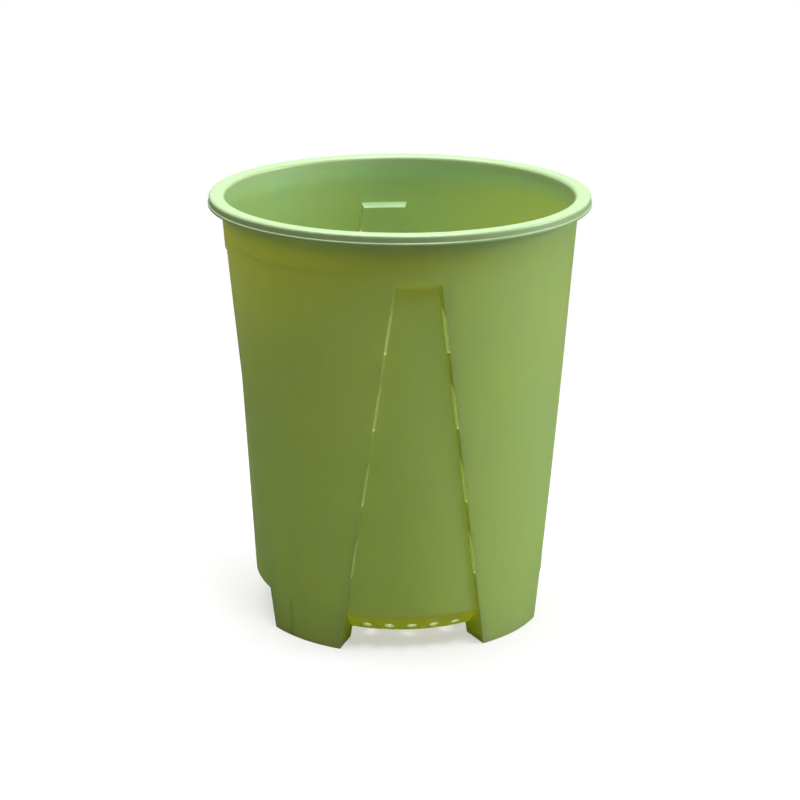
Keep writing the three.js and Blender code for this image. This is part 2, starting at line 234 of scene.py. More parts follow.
# %% Two paths with equal rows
def slanted_stops(slant):
    """Heights where slots begin and end: the sill is level, and the upper end is shifted by the slant."""
    return [stop for start in SLOT_STARTS for stop in (start, start + SLOT_LENGTH + slant)]


def chamfer_point(reach, depth):
    """Radius and height a distance up the chamfer, set in by a depth at right angles to it."""
    return chamfer_foot + np.multiply.outer(reach, chamfer_along) + depth * chamfer_inward


def collar_heights(depth):
    """Heights of the rows from the arch above a vent up to the lip."""
    return np.linspace(VENT_TOP + depth * ceiling_lift, COLLAR_TOP, COLLAR_CELLS + 1)


def on_wall(heights, depth):
    """Radius and height of points on the outer wall, set in by a depth."""
    return np.stack([wall_radius(heights) - depth, heights], 1)


def panel_path(depth):
    """Meridian up the middle of a vent."""
    floor = BASE_CLEARANCE + depth
    bend_height = PANEL_BOTTOM + depth * (CHAMFER_STRETCH - 1) / (CHAMFER_SLOPE - PANEL_SLOPE)
    bend = rounded([
        (recess_radius(floor, depth), floor, 0),
        (recess_radius(bend_height, depth), bend_height, BEND_RADIUS - depth),
        (recess_radius(PANEL_TOP, depth), PANEL_TOP, 0),
    ], BEND_STEPS)[1:-1]
    heights = climb([bend[-1, 1], *slanted_stops(SLOT_SLANT), PANEL_TOP + depth * ceiling_lift], wall_cells)
    return np.concatenate([
        [(BASE_RADIUS - EDGE_MARGIN - WALL, floor), (recess_radius(floor, depth), floor)],
        chamfer_point(chamfer_rows, depth),
        bend,
        np.stack([recess_radius(heights, depth), heights], 1),
        on_wall(collar_heights(depth), depth),
    ])


def stave_path(depth):
    """Meridian down the inner side of a foot, across its sole and up the outer wall."""
    floor = BASE_CLEARANCE + depth
    inner = FOOT_INNER_RADIUS + depth
    sole = np.linspace(inner, wall_radius(depth) - depth, SOLE_CELLS + 1)
    wall_rows = FIRST_WALL_ROW - SOLE_CELLS - FOOT_INNER_POINTS
    start, end = PANEL_BOTTOM + EDGE_MARGIN, VENT_TOP - EDGE_MARGIN + depth * ceiling_lift
    heights = np.concatenate([
        np.linspace(depth, start, wall_rows + 1)[1:],
        climb([start, *slanted_stops(-SLOT_SLANT), end], wall_cells),
        collar_heights(depth),
    ])
    return np.concatenate([
        [(FOOT_INNER_RADIUS - EDGE_MARGIN, floor), (inner, floor), (inner, (floor + depth) / 2)],
        np.stack([sole, np.full(len(sole), depth)], 1),
        on_wall(heights, depth),
    ])


ROWS = len(panel_path(0))
ARCH_ROW = FIRST_WALL_ROW + sum(wall_cells) + 1
print(f"Rows: {ROWS} up a panel, {len(stave_path(0))} up a stave; the arch is row {ARCH_ROW}")

# %% [markdown]
# ## From meridians to a skin
#
# Each quarter of the pot is a panel, a side wall, a stretch of outer wall (a stave) and the next side wall.
# Panel and stave are arcs whose ends follow `side_angle`; a side wall is spanned in a straight line from the
# panel's last point to the stave's first. At the arch above a vent both ends meet, and the side wall ends.

# %% Columns
STAVE_CELLS = 40
SIDE_CELLS = 3
END_CELLS = 3

hole_radius, hole_height = chamfer_point(CHAMFER_HOLE_RISE, 0)
hole_arc = hole_radius * side_angle(hole_height, hole_radius, 0)
holes_half = CHAMFER_HOLES * CHAMFER_HOLE_PITCH / 2
across = climb([-hole_arc, -holes_half, holes_half, hole_arc],
               [END_CELLS, CHAMFER_HOLES * COLUMNS_PER_HOLE, END_CELLS])
panel_shares = np.insert(across / hole_arc, 0, -1)
stave_shares = np.linspace(0, 1, STAVE_CELLS + 1)
side_shares = np.linspace(0, 1, SIDE_CELLS + 1)[1:-1]
hole_middles = CHAMFER_HOLE_PITCH * (np.arange(CHAMFER_HOLES) - (CHAMFER_HOLES - 1) / 2)
hole_columns = [np.argmin(abs(panel_shares - middle / hole_arc)) for middle in hole_middles]
PANEL_COLUMNS = len(panel_shares)
QUARTER_COLUMNS = PANEL_COLUMNS + len(stave_shares) + 2 * len(side_shares)
COLUMNS = VENTS * QUARTER_COLUMNS
QUARTER = 2 * math.pi / VENTS
print(f"Columns: {COLUMNS}, of which {PANEL_COLUMNS} on each panel")


# %% [markdown]
# ## Round holes in a square grid
#
# A round hole can be made from a block of grid cells with no cutting at all: the square rings of points round
# the block's middle are drawn in to circles, and the cells inside the hole's ring are left out. The grid's
# rows and columns run on past the hole, so the surface stays even and shades cleanly.


# %% Square rings to circles
def ring_to_circle(reach):
    """Offsets of a block of points, drawn from square rings to circles, as shares of the hole's radius.

    A point's ring is the larger of its two offsets. Its angle grows evenly along the ring's side, so that the
    8 * ring points of a ring are evenly spaced on the circle. Returns x, y and the ring's number.
    """
    s, t = np.meshgrid(np.arange(-reach, reach + 1.0), np.arange(-reach, reach + 1.0))
    ring = np.maximum(abs(s), abs(t))
    with np.errstate(divide="ignore", invalid="ignore"):
        beside = np.where(s > 0, 0, math.pi) + math.pi / 4 * t / s
        above = math.pi / 2 * np.sign(t) - math.pi / 4 * s / t
    angle = np.nan_to_num(np.where(abs(s) >= abs(t), beside, above))
    return ring / HOLE_RING * np.cos(angle), ring / HOLE_RING * np.sin(angle), ring


# %% Points of a panel
def polar(radius, angle, height):
    """Points from radius, angle and height, which may have any shapes that fit each other."""
    return np.stack(np.broadcast_arrays(radius * np.cos(angle), radius * np.sin(angle), height), -1)


def panel_grid(panel, half_angle, depth):
    """Radius, angle and height of a panel's points: each row of its meridian, spread over the column shares.

    Round a hole, out to the ring that is its edge, the points lie on circles on the chamfer instead.
    """
    angle = half_angle[:, None] * panel_shares
    radius, height = (np.repeat(column[:, None], PANEL_COLUMNS, 1) for column in panel.T)
    dx, dy, ring = ring_to_circle(BLOCK)
    circle = chamfer_point(CHAMFER_HOLE_RISE + CHAMFER_HOLE_RADIUS * dy, depth)
    rows = slice(BLOCK_FIRST_ROW, BLOCK_FIRST_ROW + 2 * BLOCK + 1)
    for middle, centre in zip(hole_middles, hole_columns):
        block = rows, slice(centre - BLOCK, centre + BLOCK + 1)
        turn = (middle + CHAMFER_HOLE_RADIUS * dx) / hole_radius
        for grid, drawn in [(radius, circle[..., 0]), (height, circle[..., 1]), (angle, turn)]:
            grid[block] = np.where(ring <= HOLE_RING, drawn, grid[block])
    return radius, angle, height


# %% One skin of the pot
FRONT = -math.pi / 2


def skin(depth):
    """Points of the shell's outside (depth 0) or inside (depth WALL), rows x columns x 3, in millimetres.

    A quarter is a panel, a side wall, a stave and a side wall. The pot is four quarters, each turned by 90
    degrees from the one before it.
    """
    panel, stave = panel_path(depth), stave_path(depth)
    vent_turn = side_angle(panel[:, 1], panel[:, 0], depth)
    foot_turn = side_angle(stave[:, 1], stave[:, 0], depth)
    vent_turn[0] -= EDGE_MARGIN / panel[0, 0]
    foot_turn[0] += EDGE_MARGIN / stave[0, 0]
    vent_turn[ARCH_ROW:] = foot_turn[ARCH_ROW:] = foot_turn[ARCH_ROW]

    radius, angle, height = panel_grid(panel, vent_turn, depth)
    panel_points = polar(radius, FRONT + angle, height)
    stave_turn = foot_turn[:, None] + (QUARTER - 2 * foot_turn[:, None]) * stave_shares
    stave_points = polar(stave[:, :1], FRONT + stave_turn, stave[:, 1:])
    next_panel = polar(radius[:, :1], FRONT + QUARTER + angle[:, :1], height[:, :1])
    share = side_shares[:, None]
    right = panel_points[:, -1:] * (1 - share) + stave_points[:, :1] * share
    left = stave_points[:, -1:] * (1 - share) + next_panel * share
    quarter = np.concatenate([panel_points, right, stave_points, left], 1)

    turns = QUARTER * np.arange(VENTS)
    x, y, z = np.moveaxis(quarter, -1, 0)
    turned_x = np.multiply.outer(np.cos(turns), x) - np.multiply.outer(np.sin(turns), y)
    turned_y = np.multiply.outer(np.sin(turns), x) + np.multiply.outer(np.cos(turns), y)
    pot = np.stack([turned_x, turned_y, np.repeat(z[None], VENTS, 0)], -1)
    return pot.transpose(1, 0, 2, 3).reshape(ROWS, COLUMNS, 3)


outside, inside = skin(0.0), skin(WALL)
print(f"Two skins of {outside.shape[0]} x {outside.shape[1]} points")

# %% [markdown]
# ## The lip
#
# The lip is a hollow roll: the wall turns out under it, up into the hollow, down inside a short skirt, round
# a small bead and back over the crest into the pot. Separate surfaces would need seams, so it is one rounded
# path carried round the axis. The path starts on the wall's outside just above the collar and ends on its
# inside, and so joins the two skins into a single folded sheet.

# %% Path of the lip
SKIRT_HEIGHT = 4.2
BEAD_REACH = 0.4
BEAD_HEIGHT = 0.9
BEAD_SLOPE = 0.4
LIP_STEPS = 6
LIP_START_RISE = 2

skirt_face = RIM_RADIUS - BEAD_REACH
skirt_bottom = HEIGHT - SKIRT_HEIGHT
bead_top = skirt_bottom + BEAD_HEIGHT
hollow_top = HEIGHT - WALL
throat = wall_radius(skirt_bottom) - WALL
lip_start = COLLAR_TOP + LIP_START_RISE

# Radius, height and rounding of each corner, from the wall's outside round to its inside.
lip_corners = [
    (throat + WALL, skirt_bottom, 0),
    (throat + WALL, hollow_top, 1.4),
    (skirt_face - WALL, hollow_top, 1.2),
    (skirt_face - WALL, skirt_bottom, 0.3),
    (RIM_RADIUS, skirt_bottom, 0.3),
    (RIM_RADIUS, bead_top, 0.25),
    (skirt_face, bead_top + BEAD_SLOPE, 0.35),
    (skirt_face, HEIGHT, 1.2),
    (throat, HEIGHT, 1.8),
    (throat, skirt_bottom, 0),
]
lip_path = np.concatenate([
    [(wall_radius(lip_start), lip_start)],
    rounded(lip_corners, LIP_STEPS),
    [(wall_radius(lip_start) - WALL, lip_start)],
])
between = outside[-1] + inside[-1]
lip = polar(lip_path[:, :1], np.arctan2(between[:, 1], between[:, 0]), lip_path[:, 1:])
print(f"Lip path of {len(lip_path)} points, crest at {lip_path[:, 1].max():.1f} mm")

# %% [markdown]
# ## Which cell belongs to which piece
#
# The folded sheet now runs up the outside, over the lip and down the inside. Every cell gets the number of
# its piece. The cuts keep a millimetre or so away from the edges, on smooth ground, so that an edge and its
# rounding always belong to one piece and the seams can't be seen.

# %% Pieces of the sheet
SIDES = ["front", "right", "back", "left"]
CORNERS = ["front_right", "back_right", "back_left", "front_left"]
PIECES = ([f"vent_panel_{side}" for side in SIDES] + [f"wall_stave_{corner}" for corner in CORNERS]
          + [f"foot_{corner}" for corner in CORNERS] + ["collar", "rim"])
STAVE, FOOT, COLLAR, RIM = VENTS, 2 * VENTS, 3 * VENTS, 3 * VENTS + 1

quarter, cell = np.divmod(np.arange(COLUMNS), QUARTER_COLUMNS)
next_vent = (quarter + 1) % VENTS
side_start = PANEL_COLUMNS - 1
stave_start = side_start + SIDE_CELLS
stave_end = stave_start + STAVE_CELLS

# Low down a vent has the nearest cell of each side wall, and the foot has the rest. Higher up the vent has
# both side walls and one cell of the stave on either side.
low = np.where(cell <= side_start, quarter, np.where(cell == QUARTER_COLUMNS - 1, next_vent, FOOT + quarter))
high = np.where(cell <= stave_start, quarter, np.where(cell >= stave_end - 1, next_vent, STAVE + quarter))
row = np.arange(ROWS - 1)[:, None]
piece_of_cell = np.where(row < FIRST_WALL_ROW, low, np.where(row <= ARCH_ROW, high, COLLAR))
print(f"{piece_of_cell.size} cells in {len(PIECES) - 1} pieces, and the rim's own cells")

# %% Slots and holes
on_side = ((cell >= side_start) & (cell < stave_start)) | (cell >= stave_end)
slot_row = np.repeat(np.arange(len(wall_cells)) % 2 == 1, wall_cells)
is_open = np.zeros((ROWS - 1, COLUMNS), bool)
is_open[FIRST_WALL_ROW:ARCH_ROW - 1] = slot_row[:, None] & on_side
middle_row = BLOCK_FIRST_ROW + BLOCK
for centre in hole_columns:
    is_open[middle_row - HOLE_RING:middle_row + HOLE_RING] |= abs(cell - centre + 0.5) < HOLE_RING
print(f"{is_open.sum()} cells of each skin are open, in slots and holes")

# %% [markdown]
# ## One closed sheet
#
# Cells become quads. Round each opening the outer and the inner skin are joined by a strip of quads, one for
# each border edge between an open cell and a kept one, which gives slots and holes their 1.5 mm deep walls.


# %% Quads of the sheet
sheet = np.concatenate([outside, lip, inside[::-1]])
numbers = np.arange(sheet.shape[0] * COLUMNS).reshape(-1, COLUMNS)
outer, inner = numbers[:ROWS], numbers[::-1][:ROWS]
lip_cells = len(lip) + 1
sheet_open = np.concatenate([is_open, np.zeros((lip_cells, COLUMNS), bool), is_open[::-1]])
sheet_piece = np.concatenate([piece_of_cell, np.full((lip_cells, COLUMNS), RIM), piece_of_cell[::-1]])

right_of = np.roll(numbers, -1, 1)
cells = np.stack([numbers[:-1], right_of[:-1], right_of[1:], numbers[1:]], -1)


# %% Walls of the openings
def border(chosen, start, end, piece):
    """Quads through the wall below a border edge that runs from start to end, seen from the outside."""
    across = [outer[start], outer[end], inner[end], inner[start]]
    return np.stack(across, -1)[chosen], piece[chosen]


rows, columns = np.indices(is_open.shape)
above, beside = np.roll(is_open, -1, 0), np.roll(is_open, -1, 1)
piece_above, piece_beside = np.roll(piece_of_cell, -1, 0), np.roll(piece_of_cell, -1, 1)
next_column = (columns + 1) % COLUMNS
strips = [
    border(~is_open & above, (rows + 1, columns), (rows + 1, next_column), piece_of_cell),
    border(is_open & ~above, (rows + 1, next_column), (rows + 1, columns), piece_above),
    border(~is_open & beside, (rows + 1, next_column), (rows, next_column), piece_of_cell),
    border(is_open & ~beside, (rows, next_column), (rows + 1, next_column), piece_beside),
]
quads = np.concatenate([cells[~sheet_open], *(strip[0] for strip in strips)])
quad_piece = np.concatenate([sheet_piece[~sheet_open], *(strip[1] for strip in strips)])
in_opening = np.arange(len(quads)) >= (~sheet_open).sum()
print(f"{len(quads)} quads, {sum(len(strip[0]) for strip in strips)} of them inside openings")

# %% [markdown]
# ## Rounded edges
#
# A moulding has no sharp edge: the tool's corners leave a radius of a few tenths of a millimetre, and those
# small radii catch the light round every slot and hole. A bevel on all edges sharper than 30 degrees makes
# them. Its overlap clamp is off, because with it the tightest spot on the pot would shrink every radius. The
# short edges deep in the foot pockets stay sharp, where there is no room for a radius and no one looks.
# Faces in and at an opening carry the number `opening`, by which the plastic lets more light through its cut
# edges and paints them paler, as a painted glow.

# %% Merge the sheet
MERGE_DISTANCE = 0.001


def store(mesh, name, domain, values):
    """A number for each point or face, which later steps and the material can read by its name."""
    mesh.attributes.new(name, "FLOAT", domain).data.foreach_set("value", np.asarray(values, np.float32))


whole = bpy.data.meshes.new("whole_shell")
whole.from_pydata((sheet.reshape(-1, 3) * MM).tolist(), [], quads.tolist())
whole.polygons.foreach_set("material_index", quad_piece.astype(np.int32))
store(whole, "inner", "POINT", np.isin(numbers.ravel(), inner.ravel()))
store(whole, "opening", "FACE", in_opening)

shell = bmesh.new()
shell.from_mesh(whole)
bmesh.ops.remove_doubles(shell, verts=shell.verts, dist=MERGE_DISTANCE * MM)
print(f"{len(shell.verts)} points and {len(shell.faces)} faces after merging")

# %% Round the edges
EDGE_RADIUS = 0.2
EDGE_STEPS = 2
SHARP = math.radians(30)

inner_layer = shell.verts.layers.float["inner"]
pocket_top = (PANEL_BOTTOM + EDGE_MARGIN) * MM


def can_be_rounded(edge):
    """True for an edge sharper than SHARP, but not on the inner skin of a foot's pocket."""
    in_pocket = all(vert[inner_layer] and vert.co.z < pocket_top for vert in edge.verts)
    return edge.is_manifold and not in_pocket and edge.calc_face_angle() > SHARP


sharp = [edge for edge in shell.edges if can_be_rounded(edge)]
made = bmesh.ops.bevel(shell, geom=sharp, offset=EDGE_RADIUS * MM, offset_type="OFFSET", segments=EDGE_STEPS,
                       profile=0.5, affect="EDGES", clamp_overlap=False, material=-1)
opening_layer = shell.faces.layers.float["opening"]
at_opening = {vert for face in shell.faces if face[opening_layer] for vert in face.verts}
rounded_faces = [face for face in made["faces"] if not at_opening.isdisjoint(face.verts)]
for face in rounded_faces:
    face[opening_layer] = 1
print(f"{len(sharp)} edges rounded, {len(shell.faces)} faces now, of which {len(rounded_faces)} at openings")
shell.to_mesh(whole)
shell.free()

# %% [markdown]
# ## Cutting the shell into pieces
#
# Normals are worked out once, on the whole shell, as the sum of the faces round each point weighted by their
# area. Big even faces then keep their own direction and the small rounded ones take up the turn. Each piece
# copies its points' normals, so light runs across a seam as if nothing were cut.
#
# The cut edges of a piece are closed with bands between its outer and its inner skin, which makes it a closed
# solid. A flat band would lie exactly where its neighbour's does. Light that passes through plastic bounces
# between two such faces until its bounces run out, and a dark line shows. So each band is dished inwards by
# a few hundredths of a millimetre along its middle.

# %% Read a mesh
def read(collection, name, width=1, kind=np.float32):
    """One property of all items of a mesh collection, as an array."""
    values = np.empty(len(collection) * width, kind)
    collection.foreach_get(name, values)
    return values.reshape(-1, width) if width > 1 else values


def loop_points(mesh):
    """For each loop of a mesh, the number of its point."""
    return read(mesh.loops, "vertex_index", kind=np.int32)


def loop_faces(mesh):
    """For each loop of a mesh, the number of its face."""
    return np.repeat(np.arange(len(mesh.polygons)), read(mesh.polygons, "loop_total", kind=np.int32))


def point_normals(mesh):
    """Normal of each point: the sum of its faces' normals times their areas, made one long."""
    pull = read(mesh.polygons, "normal", 3) * read(mesh.polygons, "area")[:, None]
    total = np.zeros((len(mesh.vertices), 3))
    np.add.at(total, loop_points(mesh), pull[loop_faces(mesh)])
    return total / np.maximum(np.linalg.norm(total, axis=1, keepdims=True), 1e-30)


# %% Copy a part of a mesh
def part_of_mesh(name, mesh, faces):
    """New mesh from some faces of another; also says which of the old points each new point is."""
    sizes = read(mesh.polygons, "loop_total", kind=np.int32)[faces]
    starts = read(mesh.polygons, "loop_start", kind=np.int32)[faces]
    ends = np.cumsum(sizes)
    loops = np.arange(ends[-1]) + np.repeat(starts - (ends - sizes), sizes)
    used, corners = np.unique(loop_points(mesh)[loops], return_inverse=True)
    part = bpy.data.meshes.new(name)
    part.vertices.add(len(used))
    part.vertices.foreach_set("co", read(mesh.vertices, "co", 3)[used].ravel())
    part.loops.add(len(corners))
    part.loops.foreach_set("vertex_index", corners.astype(np.int32))
    part.polygons.add(len(faces))
    part.polygons.foreach_set("loop_start", (ends - sizes).astype(np.int32))
    part.update(calc_edges=True)
    return part, used


# %% Close the cuts
CUT_DISH = 0.03


def rings_of(edges):
    """Edges that hang together, as a list of sets, from the lowest up."""
    rest, rings = set(edges), []
    while rest:
        ring, front = set(), {next(iter(rest))}
        while front:
            ring |= front
            front = {near for edge in front for vert in edge.verts for near in vert.link_edges
                     if near in rest} - ring
        rest -= ring
        rings.append(ring)
    return sorted(rings, key=lambda ring: sum(vert.co.z for edge in ring for vert in edge.verts) / len(ring))


def close_cuts(mesh):
    """Bands between the outer and the inner border of each cut, pair by pair from the lowest up.

    A band's middle line is drawn into the piece by CUT_DISH, so neighbours touch along their outlines only.
    """
    work = bmesh.new()
    work.from_mesh(mesh)
    rings = rings_of(edge for edge in work.edges if edge.is_boundary)
    for low_ring, high_ring in zip(rings[::2], rings[1::2]):
        across = bmesh.ops.bridge_loops(work, edges=list(low_ring | high_ring))["edges"]
        made = bmesh.ops.subdivide_edges(work, edges=across, cuts=1)["geom_inner"]
        work.normal_update()
        for vert in [item for item in made if isinstance(item, bmesh.types.BMVert)]:
            vert.co -= vert.normal * CUT_DISH * MM
    work.to_mesh(mesh)
    work.free()
    return len(rings)


# %% Shade a piece and name its node
def shade(mesh, normals, skin_faces):
    """Gives the first faces their points' normals, and the faces after them, which close cuts, flat ones.

    The points that close_cuts adds come last and have no normal in the list, but only flat faces use them.
    """
    faces = loop_faces(mesh)
    flat = read(mesh.polygons, "normal", 3)[faces]
    known = np.minimum(loop_points(mesh), len(normals) - 1)
    chosen = np.where((faces < skin_faces)[:, None], normals[known], flat)
    mesh.polygons.foreach_set("use_smooth", np.ones(len(mesh.polygons), bool))
    mesh.normals_split_custom_set(chosen.tolist())


def finished_piece(name, mesh, nodes):
    """Puts a mesh into the scene as a piece that stands for its CAD node and rides with the pot."""
    piece = bpy.data.objects.new(name, mesh)
    bpy.context.scene.collection.objects.link(piece)
    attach(piece, "root")
    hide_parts(nodes)
    return piece


# %% Cut the shell
shell_normals = point_normals(whole)
face_piece = read(whole.polygons, "material_index", kind=np.int32)
opening_of_face = read(whole.attributes["opening"].data, "value")
pieces = {}
for number, node in enumerate(PIECES):
    faces = np.flatnonzero(face_piece == number)
    mesh, used = part_of_mesh(node, whole, faces)
    rings = close_cuts(mesh)
    shade(mesh, shell_normals[used], len(faces))
    caps = len(mesh.polygons) - len(faces)
    store(mesh, "opening", "FACE", np.append(opening_of_face[faces], np.zeros(caps)))
    store(mesh, "cut", "FACE", np.append(np.zeros(len(faces)), np.ones(caps)))
    pieces[node] = finished_piece(f"moulded_{node}", mesh, node)
    print(f"{node}: {len(mesh.polygons)} faces, {rings} cut rings closed")
bpy.data.meshes.remove(whole)

# %% [markdown]
# ## The base plate
#
# The base is a flat plate with rings of drain holes. Holes could be cut with a boolean, but that leaves
# uneven faces. Here a triangulation fills each face of the plate and keeps its outline and its holes, and
# each hole's wall is a small profile turned round the hole's axis, with rounded lips. In the middle of the
# underside is the gate mark: a shallow dish with the broken-off stub of the sprue in it.

# %% Profiles round an axis
def turned(profile, x, y, sides):
    """Points and quads of a profile of (radius, height) turned round an upright axis at x, y."""
    profile = np.asarray(profile, float)
    turn = 2 * math.pi * np.arange(sides) / sides
    points = polar(profile[:, :1], turn, profile[:, 1:]) + [x, y, 0]
    index = np.arange(points[..., 0].size).reshape(points.shape[:2])
    after = np.roll(index, -1, 1)
    faces = np.stack([index[:-1], after[:-1], after[1:], index[1:]], -1)
    return points.reshape(-1, 3), faces.reshape(-1, 4).tolist()


# %% Flat faces with holes
def filled(outline, holes, height):
    """Triangles between an outline and round holes (x, y, radius, sides) at one height.

    A triangle is left out where its middle lies nearer to a hole's centre than the hole's radius.
    """
    circles = [turned([(radius, 0)], x, y, sides)[0][:, :2] for x, y, radius, sides in holes]
    rings = [outline[:, :2], *circles]
    starts = np.cumsum([0] + [len(ring) for ring in rings])
    loops = [list(range(a, b)) for a, b in zip(starts, starts[1:])]
    edges = [(loop[k - 1], loop[k]) for loop in loops for k in range(len(loop))]
    flat = [Vector(point) for point in np.concatenate(rings).tolist()]
    points, _, faces, *_ = delaunay_2d_cdt(flat, edges, [], 1, 1e-6)
    corners = np.array([(point.x, point.y, height) for point in points])
    faces = np.array(faces)
    middles = corners[faces].mean(1)[:, None, :2]
    x, y, radius, _ = np.array(holes, float).T
    kept = (np.hypot(middles[..., 0] - x, middles[..., 1] - y) > radius).all(1)
    return corners, faces[kept].tolist()


# %% Drain holes
DRAIN_RINGS = [(41.0, 16), (27.5, 8), (14.0, 4)]
DRAIN_RADIUS = 2.0
DRAIN_SIDES = 24

drains = [(ring * math.cos(turn), ring * math.sin(turn)) for ring, count in DRAIN_RINGS
          for turn in 2 * math.pi * np.arange(count) / count]
bottom, top = BASE_CLEARANCE, BASE_CLEARANCE + WALL
quarter_turn = np.radians([0, 30, 60, 90])
arc = EDGE_RADIUS * (1 - np.cos(quarter_turn))
rise = EDGE_RADIUS * np.sin(quarter_turn)
lower_lip = np.stack([DRAIN_RADIUS + EDGE_RADIUS - rise, bottom + arc], 1)
upper_lip = np.stack([DRAIN_RADIUS + arc, top - EDGE_RADIUS + rise], 1)
drain_profile = np.concatenate([lower_lip, upper_lip])
drain_walls = [turned(drain_profile, x, y, DRAIN_SIDES) for x, y in drains]
print(f"{len(drains)} drain holes, {2 * DRAIN_RADIUS:.0f} mm across")

# %% Gate mark
GATE_RADIUS = 4.0
GATE_SLOPE = 0.4
GATE_DEPTH = 0.35
GATE_SIDES = 48
GATE_STEPS = 3
STUB_FOOT_RADIUS = 1.1
STUB_RADIUS = 0.9
STUB_INSET = 0.05
STUB_TIP_RADIUS = 0.02

# Radius, height and rounding of each corner, from the dish's edge in to the stub's middle.
gate_corners = [
    (GATE_RADIUS, bottom, 0),
    (GATE_RADIUS - GATE_SLOPE, bottom + GATE_DEPTH, 0.3),
    (STUB_FOOT_RADIUS, bottom + GATE_DEPTH, 0.2),
    (STUB_RADIUS, bottom + STUB_INSET, 0.15),
    (STUB_TIP_RADIUS, bottom + STUB_INSET, 0),
]
gate_points, gate_faces = turned(rounded(gate_corners, GATE_STEPS), 0, 0, GATE_SIDES)
gate_faces.append(list(range(len(gate_points) - GATE_SIDES, len(gate_points))))
print(f"Gate mark {2 * GATE_RADIUS:.0f} mm across and {GATE_DEPTH} mm deep")

# %% Faces and edge of the plate
drain_edges = [(x, y, DRAIN_RADIUS + EDGE_RADIUS, DRAIN_SIDES) for x, y in drains]
gate_edge = (0, 0, GATE_RADIUS, GATE_SIDES)

middle = (outside[0] + inside[0]) / 2
middle[:, :2] *= 1 - CUT_DISH / np.hypot(*middle[:, :2].T)[:, None]
band_points = np.concatenate([outside[0], middle, inside[0]])
lap = np.arange(2 * COLUMNS)
after = lap + 1 - COLUMNS * (lap % COLUMNS == COLUMNS - 1)
band_faces = np.stack([lap, after, after + COLUMNS, lap + COLUMNS], 1).tolist()

patches = [
    filled(outside[0], [*drain_edges, gate_edge], bottom),
    filled(inside[0], drain_edges, top),
    (gate_points, gate_faces),
    *drain_walls,
    (band_points, band_faces),
]
starts = np.cumsum([0] + [len(points) for points, _ in patches])
base_points = np.concatenate([points for points, _ in patches]) * MM
base_faces = [[corner + start for corner in face]
              for (_, faces), start in zip(patches, starts) for face in faces]
print(f"{len(patches)} patches with {len(base_faces)} faces")

# %% One closed plate
base_mesh = bpy.data.meshes.new("base_plate_moulded")
base_mesh.from_pydata(base_points.tolist(), [], base_faces)
plate = bmesh.new()
plate.from_mesh(base_mesh)
bmesh.ops.remove_doubles(plate, verts=plate.verts, dist=MERGE_DISTANCE * MM)
bmesh.ops.recalc_face_normals(plate, faces=plate.faces)
open_edges = sum(not edge.is_manifold for edge in plate.edges)
plate.to_mesh(base_mesh)
plate.free()
shade(base_mesh, point_normals(base_mesh), len(base_mesh.polygons))
print(f"Base plate: {len(base_mesh.polygons)} faces, {open_edges} open edges")

# %% Openings and cut faces of the plate
# A point belongs to a drain hole up to ROUNDING_SHARE of the way over the rounding of its edge. A cut face
# lies outside the drain holes, and its normal leans more than about 53 degrees from upright.
ROUNDING_SHARE = 0.6
UPRIGHT_SHARE = 0.6

base_co = read(base_mesh.vertices, "co", 3) / MM
from_drain = np.min([np.hypot(base_co[:, 0] - x, base_co[:, 1] - y) for x, y in drains], 0)
store(base_mesh, "opening", "POINT", from_drain < DRAIN_RADIUS + ROUNDING_SHARE * EDGE_RADIUS)
sideways = abs(read(base_mesh.polygons, "normal", 3)[:, 2]) < UPRIGHT_SHARE
face_middles = read(base_mesh.polygons, "center", 3)[:, :2] / MM
past_drains = np.hypot(*face_middles.T) > DRAIN_RINGS[0][0] + 2 * DRAIN_RADIUS
store(base_mesh, "cut", "FACE", sideways & past_drains)
pieces["base_plate"] = finished_piece("moulded_base_plate", base_mesh, "base_plate")
print(f"{(sideways & past_drains).sum()} cut faces round the plate")

# %% [markdown]
# ## The plastic
#
# Shader nodes read best as sums. A `Value` wraps the output of one node, and the usual operators on it add
# Math nodes, so a mask or a roughness can be written as the formula that it is. A `Shader` is one material,
# and a single method of it makes every kind of node.


# %% Shader values
class Value:
    """An output of a node in one material. Operators on it add Math nodes and return new values."""

    def __init__(self, shader, socket):
        self.shader, self.socket = shader, socket

    def math(self, operation, *others):
        """A Math node, with this value as its first input."""
        return self.shader.node("ShaderNodeMath", {"operation": operation}, dict(enumerate((self, *others))))

    def __add__(self, other):
        return self.math("ADD", other)

    def __sub__(self, other):
        return self.math("SUBTRACT", other)

    def __mul__(self, other):
        return self.math("MULTIPLY", other)

    def __rsub__(self, other):
        return self.shader.node("ShaderNodeMath", {"operation": "SUBTRACT"}, {0: other, 1: self})

    __radd__ = __add__
    __rmul__ = __mul__

    def ramp(self, start, end):
        """0 below start, 1 above end and a smooth step between them. End may lie below start."""
        settings = {"interpolation_type": "SMOOTHSTEP", "clamp": True}
        inputs = {"Value": self, "From Min": start, "From Max": end, "To Min": 0.0, "To Max": 1.0}
        return self.shader.node("ShaderNodeMapRange", settings, inputs)


